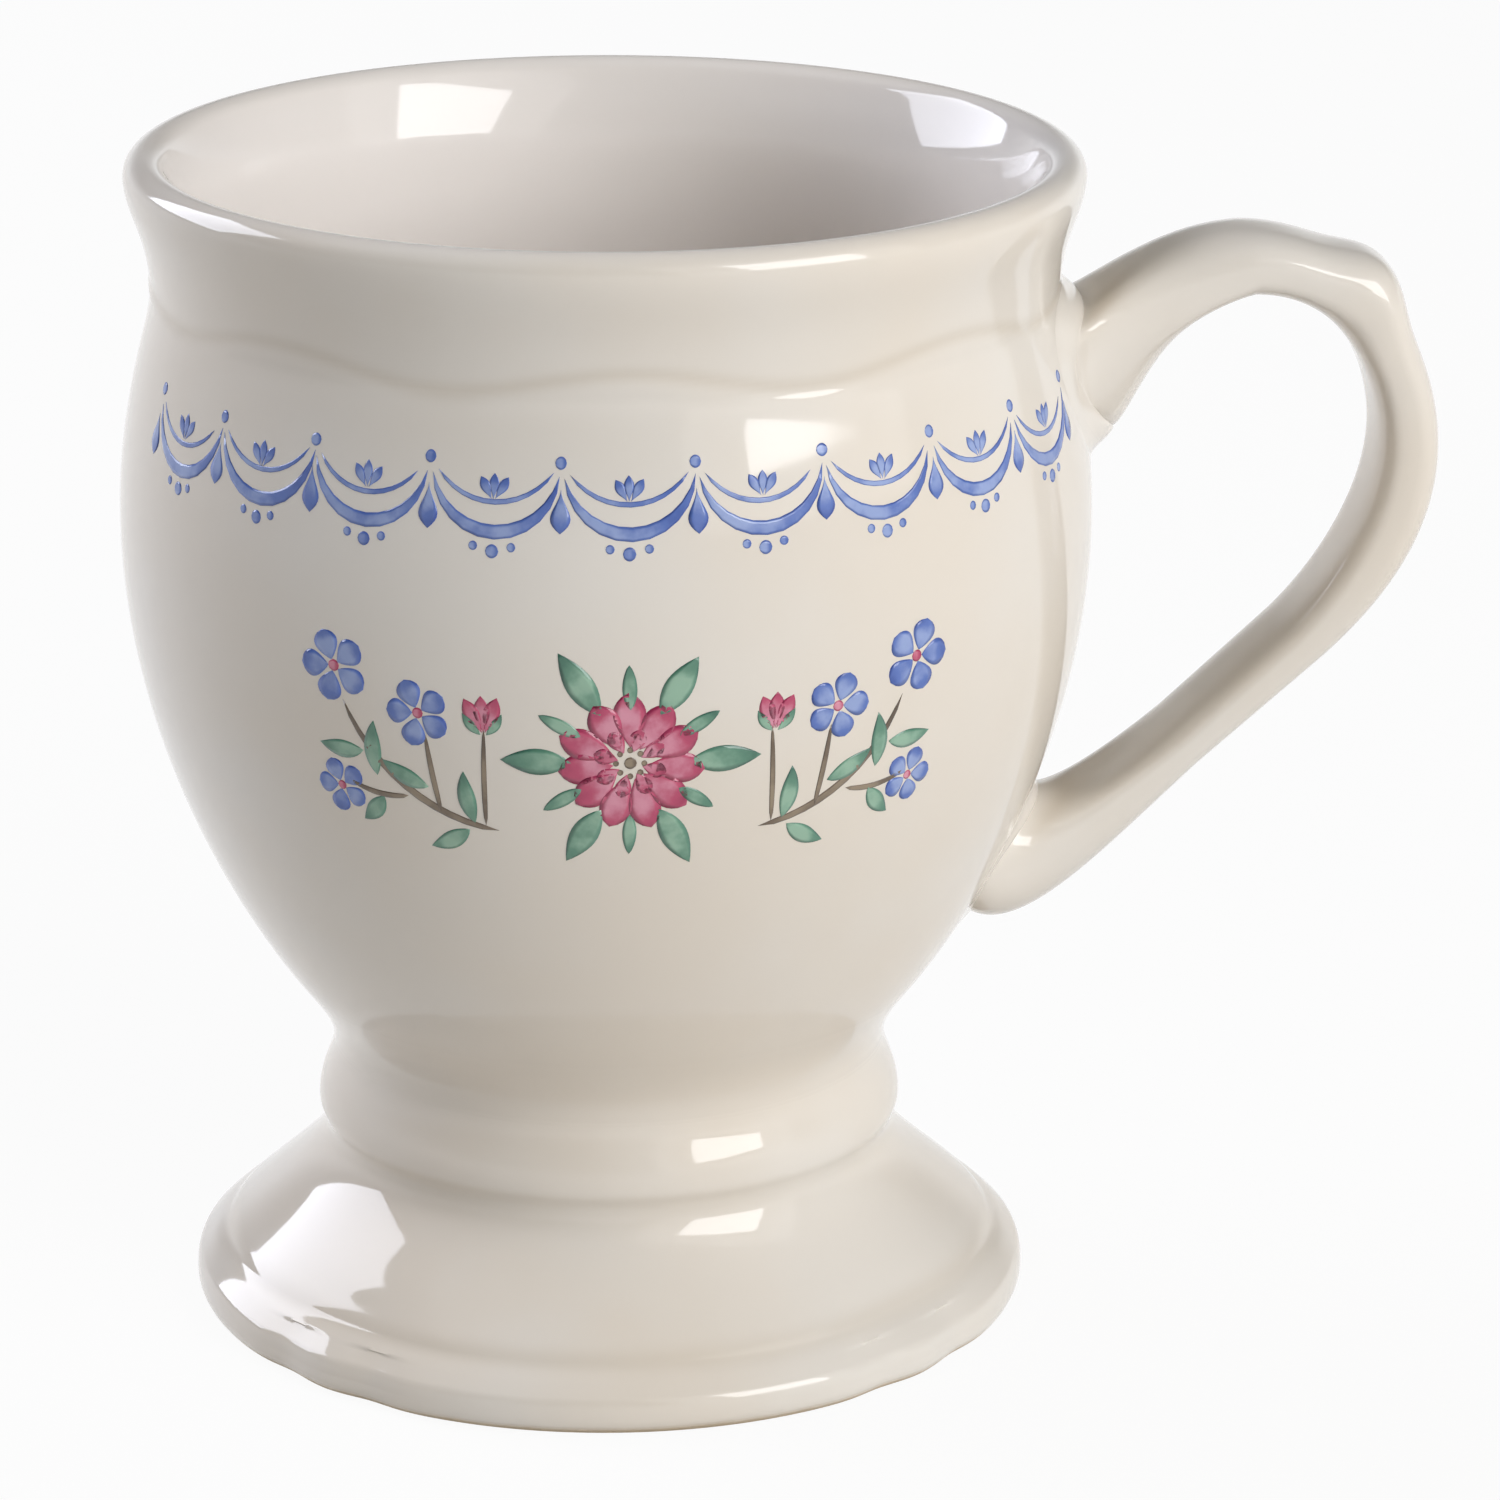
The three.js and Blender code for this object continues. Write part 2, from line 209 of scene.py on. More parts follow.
class Tree:
    """A node tree that is put together one step at a time."""

    def __init__(self, nodes):
        self.nodes = nodes

    def plug(self, socket, value):
        if isinstance(value, Field):
            self.nodes.links.new(value.socket, socket)
        elif isinstance(value, bpy.types.NodeSocket):
            self.nodes.links.new(value, socket)
        elif isinstance(value, bpy.types.Node):
            self.nodes.links.new(value.outputs[0], socket)
        else:
            socket.default_value = value

    def step(self, kind, inputs=None, **settings):
        node = self.nodes.nodes.new(kind)
        for name, value in settings.items():
            setattr(node, name, value)
        for name, value in (inputs or {}).items():
            self.plug(node.inputs[name], value)
        return node

    def field(self, node, output=0):
        return Field(self, node.outputs[output])

    def math(self, operation, first, second=0.0):
        inputs = {0: first, 1: second}
        return self.field(self.step("ShaderNodeMath", inputs, operation=operation))

    def eased(self, value, low, high):
        """0 below low, 1 above high, with a smooth step between them."""
        inputs = {"Value": value, "From Min": low, "From Max": high}
        settings = {"interpolation_type": "SMOOTHSTEP"}
        return self.field(self.step("ShaderNodeMapRange", inputs, **settings))

    def split(self, vector):
        node = self.step("ShaderNodeSeparateXYZ", {"Vector": vector})
        return [self.field(node, axis) for axis in range(3)]

    def joined(self, x, y, z):
        return self.field(self.step("ShaderNodeCombineXYZ", {"X": x, "Y": y, "Z": z}))


class Recipe(Tree):
    """A Geometry Nodes tree with named inputs for its sizes."""

    SOCKETS = {
        float: "NodeSocketFloat",
        int: "NodeSocketInt",
        bpy.types.Object: "NodeSocketObject",
        bpy.types.Material: "NodeSocketMaterial",
    }

    def __init__(self, name, values):
        super().__init__(bpy.data.node_groups.new(name, "GeometryNodeTree"))
        self.values = values
        sockets = self.nodes.interface
        sockets.new_socket("Geometry", in_out="INPUT", socket_type="NodeSocketGeometry")
        for label, value in values.items():
            sockets.new_socket(label, in_out="INPUT", socket_type=self.SOCKETS[type(value)])
        sockets.new_socket("Geometry", in_out="OUTPUT", socket_type="NodeSocketGeometry")
        self.given = self.nodes.nodes.new("NodeGroupInput")

    def __getitem__(self, label):
        return Field(self, self.given.outputs[label])

    def position(self):
        return self.split(self.step("GeometryNodeInputPosition"))

    def attribute(self, name):
        node = self.step("GeometryNodeInputNamedAttribute", {"Name": name}, data_type="FLOAT")
        return self.field(node)

    def stored(self, geometry, name, value):
        inputs = {"Geometry": geometry, "Name": name, "Value": value}
        return self.step("GeometryNodeStoreNamedAttribute", inputs, data_type="FLOAT", domain="POINT")

    def moved(self, geometry, position):
        return self.step("GeometryNodeSetPosition", {"Geometry": geometry, "Position": position})

    def welded(self, geometry):
        inputs = {"Geometry": geometry, "Distance": self["Weld"]}
        return self.step("GeometryNodeMergeByDistance", inputs)

    def end(self, geometry):
        """Realize Instances, Set Material and the output."""
        whole = self.step("GeometryNodeRealizeInstances", {"Geometry": geometry})
        smooth = self.step("GeometryNodeSetShadeSmooth", {"Geometry": whole})
        inputs = {"Geometry": smooth, "Material": self["Finish"]}
        coated = self.step("GeometryNodeSetMaterial", inputs)
        self.step("NodeGroupOutput", {"Geometry": coated})

    def made_on(self, piece, body=0.0):
        """Runs the recipe on a piece, gives thin sheets a body and leaves a plain mesh."""
        modifier = piece.modifiers.new(self.nodes.name, "NODES")
        modifier.node_group = self.nodes
        for item in self.nodes.interface.items_tree:
            if item.in_out == "INPUT" and item.name in self.values:
                modifier[item.identifier] = self.values[item.name]
        if body:
            solid = piece.modifiers.new("body", "SOLIDIFY")
            solid.thickness = body
            solid.offset = -1
        return plain(piece)


def plain(piece):
    """Applies all of a piece's modifiers."""
    bpy.context.view_layer.update()
    evaluated = piece.evaluated_get(bpy.context.evaluated_depsgraph_get())
    old = piece.data
    mesh = bpy.data.meshes.new_from_object(evaluated)
    piece.modifiers.clear()
    piece.data = mesh
    mesh.name = piece.name
    bpy.data.meshes.remove(old)
    return piece


def piece_from(name, points, faces=()):
    """A mesh object in the scene, from points in metres."""
    mesh = bpy.data.meshes.new(name)
    mesh.from_pydata([tuple(map(float, point)) for point in points], (), faces)
    piece = bpy.data.objects.new(name, mesh)
    bpy.context.scene.collection.objects.link(piece)
    return piece


def point_values(piece, name, values):
    layer = piece.data.attributes.new(name, "FLOAT", "POINT")
    layer.data.foreach_set("value", np.asarray(values, np.float32))


def finished(piece, slot, *nodes):
    """Says what a piece rides on and which nodes it stands for. The slot is not used."""
    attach(piece, BODY)
    if nodes:
        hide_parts(*nodes)


# Curves in the plane of a profile
def bezier_at(corners, share):
    """Points on a Bezier curve at the given shares of it. The corners may be whole rings of points."""
    share = np.asarray(share, float).reshape(-1, *[1] * np.ndim(corners[0]))
    rest = 1 - share
    weights = [rest ** 3, 3 * share * rest ** 2, 3 * share ** 2 * rest, share ** 3]
    return sum(weight * np.asarray(corner, float) for weight, corner in zip(weights, corners))


def bezier(start, pull_start, pull_end, end, spacing):
    """Points along a Bezier curve, about a spacing apart, its start left out."""
    corners = np.array([start, pull_start, pull_end, end], float)
    length = np.linalg.norm(np.diff(corners, axis=0), axis=1).sum()
    count = max(4, round(length / spacing))
    return bezier_at(corners, np.linspace(0, 1, count + 1)[1:])


def arc(centre, radius, start, end, count):
    """Points on an arc from one angle in degrees to another, its start left out."""
    angles = np.radians(np.linspace(start, end, count + 1)[1:])
    return np.array(centre) + radius * np.stack([np.cos(angles), np.sin(angles)], axis=1)


def straight(start, end, count):
    share = np.linspace(0, 1, count + 1)[1:, None]
    return (1 - share) * np.array(start, float) + share * np.array(end, float)


def smoothstep(value, low, high):
    """0 below low, 1 above high, with a smooth step between them."""
    share = np.clip((np.asarray(value, float) - low) / (high - low), 0, 1)
    return share * share * (3 - 2 * share)


def swell_at(value, centre, width):
    """1 at the centre, falling away smoothly to both sides."""
    return np.exp(-((value - centre) / width) ** 2)


def bowl_side():
    """The bowl's outside, from the waist up to the lip."""
    waist = (WAIST_RADIUS, BOWL_BASE)
    cove = (COVE_RADIUS, COVE_HEIGHT)
    belly = (BELLY_RADIUS, BELLY_HEIGHT)
    neck = (NECK_RADIUS, NECK_HEIGHT)
    lip = (LIP_RADIUS, LIP_HEIGHT)
    return np.vstack([
        [waist],
        bezier(waist, (WAIST_RADIUS, 27.9), (28.8, 30.85), cove, 0.8),
        bezier(cove, (30.25, 32.8), (BELLY_RADIUS, 51.3), belly, 1.0),
        bezier(belly, (BELLY_RADIUS, 87.0), (41.75, 93.9), neck, 0.8),
        bezier(neck, (42.0, 103.4), (LIP_RADIUS, 105.8), lip, 0.3),
    ])


def bowl_profile():
    """The bowl's section, from the middle of its base out, up, over the lip and down inside."""
    lip_ring = LIP_RADIUS - LIP_ROLL
    lip_arc = arc((lip_ring, LIP_HEIGHT), LIP_ROLL, 0, 180 - INNER_FLARE, 20)
    inner_lip = lip_arc[-1]
    flare = math.radians(INNER_FLARE)
    below_lip = inner_lip - INNER_LIP_PULL * np.array([math.sin(flare), math.cos(flare)])
    inner_neck = (NECK_RADIUS - BOWL_WALL, NECK_HEIGHT + INNER_NECK_RISE)
    inner_belly = (BELLY_RADIUS - BOWL_WALL, BELLY_HEIGHT)
    return np.vstack([
        [[0, BOWL_BASE]],
        straight((0, BOWL_BASE), (WAIST_RADIUS, BOWL_BASE), 12)[:-1],
        bowl_side(),
        lip_arc,
        bezier(inner_lip, below_lip, (inner_neck[0], 103.6), inner_neck, 0.5),
        bezier(inner_neck, (inner_neck[0], 90.7), (inner_belly[0], 86.5), inner_belly, 1.2),
        bezier(inner_belly, (inner_belly[0], 45.7), (25.4, FLOOR_HEIGHT), (0, FLOOR_HEIGHT), 1.4),
    ])


SIDE = bowl_side()


def bowl_radius(height):
    """The bowl's outer radius at a height."""
    return np.interp(height, SIDE[:, 1], SIDE[:, 0])


def foot_profile():
    """The foot's closed section, from its underside out and up, so that its faces point outwards."""
    edge_ring = FOOT_RADIUS - FOOT_ROLL
    mouth = (edge_ring - FOOT_RING, 0)
    knee = (mouth[0] - RECESS_KNEE_INSET, RECESS_KNEE_HEIGHT)
    waist = (WAIST_RADIUS, FOOT_TOP)
    collar = (COLLAR_RADIUS, COLLAR_HEIGHT)
    groove = (GROOVE_RADIUS, GROOVE_HEIGHT)
    skirt_end = (CREASE_RADIUS - 0.8, CREASE_HEIGHT + 0.8)
    step = (CREASE_RADIUS + 0.1, CREASE_HEIGHT - 0.15)
    bead_start = (CREASE_RADIUS + 1.1, CREASE_HEIGHT - 1.0)
    bead_end = (FOOT_RADIUS - 0.6, 3.8)
    edge = (FOOT_RADIUS, FOOT_ROLL)
    top = (RECESS_TOP_RADIUS, FOOT_TOP)
    downward = [
        [waist],
        bezier(waist, (26.2, 22.8), (COLLAR_RADIUS, 21.4), collar, 0.4),
        bezier(collar, (COLLAR_RADIUS, 17.9), (GROOVE_RADIUS, 17.8), groove, 0.3),
        bezier(groove, (GROOVE_RADIUS, 14.2), (31.0, 10.75), skirt_end, 0.4),
        bezier(skirt_end, (35.75, 6.64), (36.07, 6.3), step, 0.12),
        bezier(step, (36.53, 5.7), (36.85, 5.45), bead_start, 0.15),
        bezier(bead_start, (37.85, 4.78), (38.4, 4.27), bead_end, 0.25),
        bezier(bead_end, (39.3, 3.44), (FOOT_RADIUS, 2.9), edge, 0.2),
        arc((edge_ring, FOOT_ROLL), FOOT_ROLL, 0, -90, 8),
        straight((edge_ring, 0), mouth, 8),
        bezier(mouth, (mouth[0], 1.7), (31.5, 3.3), knee, 0.6),
        bezier(knee, (23.9, 10.9), (RECESS_TOP_RADIUS, 12.9), top, 1.0),
        straight(top, waist, 6),
    ]
    return np.vstack(downward)[::-1]


def turned(recipe, rule):
    """Turns the profile on a piece round the bowl's axis. The rule may move each ring."""
    profile = recipe["Geometry"]
    size = recipe.step("GeometryNodeAttributeDomainSize", {"Geometry": profile})
    rows = recipe.field(size, "Point Count")
    steps = recipe["Steps"]
    inputs = {"Size X": 1.0, "Size Y": 1.0, "Vertices X": steps + 1, "Vertices Y": rows}
    sheet = recipe.step("GeometryNodeMeshGrid", inputs)
    across, along, _ = recipe.position()
    angle = (across + 0.5) * math.tau
    row = recipe.math("ROUND", (along + 0.5) * (rows - 1))
    place = recipe.step("GeometryNodeInputPosition")
    inputs = {"Geometry": profile, "Value": place, "Index": row}
    ring = recipe.step("GeometryNodeSampleIndex", inputs, data_type="FLOAT_VECTOR", domain="POINT")
    radius, _, height = recipe.split(ring)

    def of_ring(name):
        inputs = {"Geometry": profile, "Value": recipe.attribute(name), "Index": row}
        sample = recipe.step("GeometryNodeSampleIndex", inputs, data_type="FLOAT", domain="POINT")
        return recipe.field(sample)

    radius, pool = rule(recipe, radius, height, angle, of_ring)
    # The tones stored here are painted: pooled glaze with painted shade, and the inside's painted light
    sheet = recipe.stored(sheet, "pool", pool)
    sheet = recipe.stored(sheet, "lining", of_ring("lining"))
    x = recipe.math("COSINE", angle) * radius + recipe["Axis"]
    y = recipe.math("SINE", angle) * radius
    shape = recipe.moved(sheet, recipe.joined(x, y, height))
    recipe.end(recipe.welded(shape))
    return recipe


def neck_relief(recipe, radius, height, angle, of_ring):
    """Draws the neck in above a line that rises and falls in waves. A tan tone along the line is pooled
    glaze and painted shade in its crease.
    """
    line = recipe["Line height"] + recipe["Swing"] * recipe.math("COSINE", angle * recipe["Waves"])
    soft = recipe["Softness"]
    above = recipe.eased(height - line, soft * -0.5, soft * 0.5)
    # Painted shade: a tan tone along the line's crease, partly pooled glaze, partly the crease's shade
    along_line = bell(recipe, height - line, soft * RELIEF_POOL_AND_SHADE_PLACE, soft * RELIEF_POOL_AND_SHADE_SPREAD)
    pool = along_line * of_ring("give") * RELIEF_POOL_AND_SHADE
    return radius - recipe["Step"] * above * of_ring("give"), pool


def foot_lobes(recipe, radius, height, angle, of_ring):
    """Draws the foot's edge in beside each corner, and its crease in at each corner."""
    corner = math.tau / FOOT_CORNERS
    turn = recipe.math("MODULO", angle, corner)
    from_corner = recipe.math("ABSOLUTE", turn - corner / 2)
    notch = bell(recipe, from_corner, recipe["Notch angle"], recipe["Notch width"])
    broad = bell(recipe, from_corner, 0.0, recipe["Corner width"])
    radius = radius - recipe["Notch"] * notch * of_ring("give")
    radius = radius - recipe["Corner"] * broad * of_ring("crease")
    # The tone handed on is pooled glaze and painted shade in the groove and crease
    return radius, of_ring("pool")


def bell(tree, value, centre, width):
    """1 at the centre, falling away smoothly to both sides, as nodes."""
    share = (value - centre) / width
    return tree.math("EXPONENT", share * share * -1.0)


def profile_piece(name, profile, **values):
    """The rings of a turned piece, as points in the plane y = 0."""
    points = [(radius * MM, 0, height * MM) for radius, height in profile]
    piece = piece_from(name, points)
    for label, numbers in values.items():
        point_values(piece, label, numbers)
    return piece


def make_bowl(glaze):
    profile = bowl_profile()
    radius, height = profile.T
    outside = radius > NECK_RADIUS - BOWL_WALL / 2
    fade = smoothstep(height, LIP_HEIGHT - RELIEF_FADE_LOW, LIP_HEIGHT - RELIEF_FADE_HIGH)
    give = outside * (1 - fade)
    # Painted light: the inside, from the lip's crown on, is painted lighter and cooler than the outside
    crown = height.argmax()
    lining = smoothstep(np.arange(len(profile)), crown - INSIDE_PAINTED_LIGHT_ROWS, crown + INSIDE_PAINTED_LIGHT_ROWS)
    piece = profile_piece("bowl_shell", profile, give=give, lining=lining)
    values = {
        "Axis": AXIS_X,
        "Steps": BOWL_STEPS,
        "Line height": RELIEF_HEIGHT * MM,
        "Swing": RELIEF_SWING * MM,
        "Softness": RELIEF_SOFTNESS * MM,
        "Step": RELIEF_STEP * MM,
        "Waves": float(RELIEF_WAVES),
        "Weld": WELD * MM,
        "Finish": glaze,
    }
    turned(Recipe("turned bowl", values), neck_relief).made_on(piece)
    piece.data.set_sharp_from_angle(angle=math.radians(TURNED_SHARP_ANGLE))
    finished(piece, "glazed_body", "bowl")
    return piece


def make_foot(glaze):
    profile = foot_profile()
    radius, height = profile.T
    edge_ring = FOOT_RADIUS - FOOT_ROLL
    is_bead = (height > 0) & (radius > edge_ring)
    give = np.where(is_bead, smoothstep(radius, CREASE_RADIUS, FOOT_RADIUS - 0.5), 0)
    under = smoothstep(radius, edge_ring - FOOT_RING, edge_ring) * (height < FOOT_ROLL)
    give = np.maximum(give, under)
    outside = radius > GROOVE_RADIUS - 1
    above = outside * (height > FOOT_ROLL)
    crease = above * swell_at(radius, CREASE_RADIUS, CREASE_SPREAD)
    # Painted shade: a tan tone in the groove and crease, partly pooled glaze, partly their shade
    groove = outside * swell_at(height, GROOVE_HEIGHT, GROOVE_POOL_AND_SHADE_SPREAD)
    in_crease = above * swell_at(radius, CREASE_RADIUS, CREASE_POOL_AND_SHADE_SPREAD)
    pool = GROOVE_POOL_AND_SHADE * groove + CREASE_POOL_AND_SHADE * in_crease
    piece = profile_piece("foot_stand", profile, give=give, crease=crease, pool=pool)
    values = {
        "Axis": AXIS_X,
        "Steps": FOOT_STEPS,
        "Notch": NOTCH_DEPTH * MM,
        "Notch angle": math.radians(NOTCH_ANGLE),
        "Notch width": math.radians(NOTCH_WIDTH),
        "Corner": CORNER_DEPTH * MM,
        "Corner width": math.radians(CORNER_WIDTH),
        "Weld": WELD * MM,
        "Finish": glaze,
    }
    turned(Recipe("turned foot", values), foot_lobes).made_on(piece)
    piece.data.set_sharp_from_angle(angle=math.radians(TURNED_SHARP_ANGLE))
    finished(piece, "glazed_body", "pedestal")
    return piece


# Handle
RING_ANGLES = np.linspace(0, math.tau, STRAP_SIDES, endpoint=False)


def squared(share, power):
    """Flattens a circle's cosine or sine towards a rounded rectangle."""
    return np.sign(share) * np.abs(share) ** power


OUTWARD = squared(np.cos(RING_ANGLES), STRAP_ROUNDNESS)
SIDEWAYS = squared(np.sin(RING_ANGLES), STRAP_ROUNDNESS)
DOMED = OUTWARD - STRAP_DOME * (1 - OUTWARD ** 2)


def strap_ring(outer, inner):
    """One section of the strap, between an outer and an inner point, more domed outside than inside."""
    middle = (outer + inner) / 2
    half = (outer - inner) / 2
    x = middle[0] + half[0] * DOMED
    z = middle[1] + half[1] * DOMED
    return np.stack([x, -STRAP_HALF_WIDTH * SIDEWAYS, z], axis=1)


def strap_rings():
    """Sections along the strap, from the top of its arch round the grip and down the arm."""
    grip_in = GRIP_RADIUS - STRAP_THICKNESS
    stretches = [
        (((58.5, 102.2), (70.4, 102.2), (GRIP_RADIUS, 90.9), (GRIP_RADIUS, 81.3)),
         ((59.2, 95.7), (67.2, 95.7), (grip_in, 87.7), (grip_in, 82.3)), 60),
        (((GRIP_RADIUS, 81.3), (GRIP_RADIUS, 72.0), (70.9, 65.2), ARM_BEND_OUT),
         ((grip_in, 82.3), (grip_in, 76.1), (66.4, 69.0), ARM_BEND_IN), 40),
        ((ARM_BEND_OUT, (62.3, 57.7), (58.8, 54.6), ARM_END_OUT),
         (ARM_BEND_IN, (58.8, 61.5), (55.4, 58.3), ARM_END_IN), 16),
    ]
    rings = []
    for number, (outer_curve, inner_curve, count) in enumerate(stretches):
        share = np.linspace(0, 1, count + 1)[min(number, 1):]
        outer = bezier_at(outer_curve, share)
        inner = bezier_at(inner_curve, share)
        across = (outer - inner) / np.linalg.norm(outer - inner, axis=1)[:, None]
        thumb = swell_at(share, THUMB_PLACE, THUMB_SPREAD) * (number == 0)
        outer = outer + across * (THUMB_RISE * thumb[:, None] - OUTER_SHAVE)
        inner = inner + across * INNER_SHAVE
        rings.extend(strap_ring(*edges) for edges in zip(outer, inner))
    return np.array(rings)


def wall_radius(y, z):
    """The bowl's outer radius with its neck relief, near the handle."""
    radius = bowl_radius(z)
    line = RELIEF_HEIGHT + RELIEF_SWING * np.cos(np.arcsin(y / radius) * RELIEF_WAVES)
    return radius - RELIEF_STEP * smoothstep(z - line, -RELIEF_SOFTNESS / 2, RELIEF_SOFTNESS / 2)


def on_wall(y, z, stand):
    """Points on the bowl's side, or standing off it, at the given sideways places and heights."""
    radius = wall_radius(y, z) + stand
    return np.stack([np.sqrt(np.maximum(radius ** 2 - y ** 2, 0)), y, z], axis=1)


def pad_outline(heights, half_width, lean):
    """Where a pad meets the bowl: sideways places and heights, wider towards its top if it leans."""
    low, high = heights
    upward = np.cos(RING_ANGLES)
    y = -half_width * np.sin(RING_ANGLES) * np.exp(lean * (upward - 0.5))
    z = (low + high) / 2 + (high - low) / 2 * upward
    return y, z


def graded(values, top, toe):
    """A joint's value all round it, from its value at the sides and what its top and toe add."""
    sides, more_top, more_toe = values
    return sides + more_top * top + more_toe * toe


def grown(outline, distance):
    """An outline moved outward all round by a distance."""
    y, z = outline
    ahead = np.stack([np.roll(y, -1) - np.roll(y, 1), np.roll(z, -1) - np.roll(z, 1)])
    ahead = ahead / np.linalg.norm(ahead, axis=0)
    turn = np.sign(np.sum(y * np.roll(z, -1) - z * np.roll(y, -1)))
    return y + turn * distance * ahead[1], z - turn * distance * ahead[0]


class Joint:
    """The fanned end of the strap, where it was pressed on to the bowl's side."""

    def __init__(self, outline, rim, edge, shoulder, reach):
        self.outline = outline
        self.rim = rim
        self.edge = edge
        self.shoulder = shoulder
        self.reach = reach

    def edge_ring(self, share):
        """The pad's soft edge: share 0 is its top, share 1 is where it runs out on the wall."""
        stand = self.rim * (1 - smoothstep(share, 0, 1)) - SLIP_TUCK * share
        return on_wall(*grown(self.outline, self.edge * share), stand)

    def under_ring(self, share):
        """A ring inside the wall, below the pad's edge."""
        return on_wall(*grown(self.outline, self.edge * share), -PAD_SINK)

    def rings_to(self, strap, approach):
        """All rings from inside the wall out to a section of the strap, which is left out."""
        turn = self.shoulder + self.reach[:, None] * (strap + approach - self.shoulder)
        edge = [self.edge_ring(share) for share in np.linspace(EDGE_SEAM, 0, 7)[:-1]]
        fan = bezier_at((self.edge_ring(0.0), self.shoulder, turn, strap), np.linspace(0, 1, 40)[:-1])
        return np.concatenate([[self.under_ring(0.1)], edge, fan])

    def slip(self):
        """Rings of the wiped slip, from the pad's edge out on to the wall."""
        face = [self.edge_ring(share) for share in np.linspace(EDGE_SEAM, 1, 9)]
        return np.array(face + [self.under_ring(0.6)])


def upper_joint():
    """The strap's upper end, whose top is the strap's outer face."""
    outline = pad_outline(UPPER_PAD_HEIGHTS, UPPER_PAD_HALF_WIDTH, PAD_LEAN)
    top = np.maximum(np.cos(RING_ANGLES), 0) ** 2
    toe = np.maximum(-np.cos(RING_ANGLES), 0) ** 2
    x = graded(UPPER_SHOULDER_OUT, top, toe)
    z = UPPER_SHOULDER_HEIGHT + UPPER_SHOULDER_SPREAD * OUTWARD
    shoulder = np.stack([x, -STRAP_HALF_WIDTH * SIDEWAYS, z], axis=1)
    rim = graded(UPPER_RIM, top, toe)
    edge = graded(UPPER_EDGE, top, toe)
    return Joint(outline, rim, edge, shoulder, graded(JOINT_REACH, top, toe))


def lower_joint():
    """The strap's lower end, whose top is the strap's inner face."""
    sideways, height = pad_outline(LOWER_PAD_HEIGHTS, LOWER_PAD_HALF_WIDTH, 0.0)
    outline = (sideways, height.min() + height.max() - height)
    toe = np.maximum(np.cos(RING_ANGLES), 0) ** 2
    top = np.maximum(-np.cos(RING_ANGLES), 0) ** 2
    x = LOWER_SHOULDER_OUT - LOWER_SHOULDER_LEAN * OUTWARD - LOWER_SHOULDER_HOLLOW * SIDEWAYS ** 2
    z = LOWER_SHOULDER_HEIGHT - LOWER_SHOULDER_SPREAD * OUTWARD
    shoulder = np.stack([x, -STRAP_HALF_WIDTH * SIDEWAYS, z], axis=1)
    rim = graded(LOWER_RIM, top, toe)
    edge = graded(LOWER_EDGE, top, toe)
    return Joint(outline, rim, edge, shoulder, graded(JOINT_REACH, top, toe))


def skin(name, rings, is_tube=False):
    """A skin over rings of points, in millimetres from the bowl's axis.

    The last ring of a tube meets its first. Otherwise both ends are closed with a flat face.
    """
    count, sides = rings.shape[:2]
    points = rings.reshape(-1, 3) * MM + np.array([AXIS_X, 0, 0])
    faces = []
    for row in range(count if is_tube else count - 1):
        for side in range(sides):
            here, there = row * sides, (row + 1) % count * sides
            after = (side + 1) % sides
            faces.append((here + side, here + after, there + after, there + side))
    if not is_tube:
        faces.append(tuple(reversed(range(sides))))
        faces.append(tuple((count - 1) * sides + side for side in range(sides)))
    piece = piece_from(name, points, faces)
    shape = bmesh.new()
    shape.from_mesh(piece.data)
    bmesh.ops.recalc_face_normals(shape, faces=shape.faces)
    shape.to_mesh(piece.data)
    shape.free()
    piece.data.shade_smooth()
    piece.data.set_sharp_from_angle(angle=math.radians(SKIN_SHARP_ANGLE))
    return piece


def make_handle(glaze):
    strap = strap_rings()
    upper = upper_joint()
    lower = lower_joint()
    upper_rings = upper.rings_to(strap[0], UPPER_APPROACH)
    lower_rings = lower.rings_to(strap[-1], LOWER_APPROACH)
    rings = np.concatenate([upper_rings, strap, lower_rings[::-1]])
    handle = skin("strap_handle", rings)
    # Painted shade: a tan tone where the strap leaves each pad, partly pooled glaze, partly the crook's
    # shade
    crook_pool_and_shade = np.zeros(rings.shape[:2])
    place = swell_at(np.arange(len(rings)), JOINT_EDGE_RINGS, CROOK_POOL_AND_SHADE_RINGS)
    crook_pool_and_shade += place[:, None] * np.maximum(np.cos(RING_ANGLES), 0)
    crook_pool_and_shade += place[::-1, None] * np.maximum(-np.cos(RING_ANGLES), 0)
    point_values(handle, "pool", crook_pool_and_shade.ravel())
    handle.data.materials.append(glaze)
    finished(handle, "glazed_body", "handle")
    for joint, name, node in ((upper, "upper_pad_slip", "upper_handle_slip"),
                              (lower, "lower_pad_slip", "lower_handle_slip")):
        slip = skin(name, joint.slip(), True)
        slip.data.materials.append(glaze)
        finished(slip, "slip", node)


def make_waist_slip(glaze):
    """The ring of slip between bowl and foot, flush with their outsides and with the foot's hollow."""
    inside, outside = RECESS_TOP_RADIUS, WAIST_RADIUS
    corners = [(inside, FOOT_TOP), (outside, FOOT_TOP), (outside, BOWL_BASE), (inside, BOWL_BASE)]
    angles = np.linspace(0, math.tau, BOWL_STEPS, endpoint=False)
    circle = np.stack([np.cos(angles), np.sin(angles), np.zeros(BOWL_STEPS)], axis=1)
    rings = [radius * circle + np.array([0, 0, height]) for radius, height in corners]
    slip = skin("waist_seam", np.array(rings), True)
    slip.data.materials.append(glaze)
    finished(slip, "slip", "waist_slip")


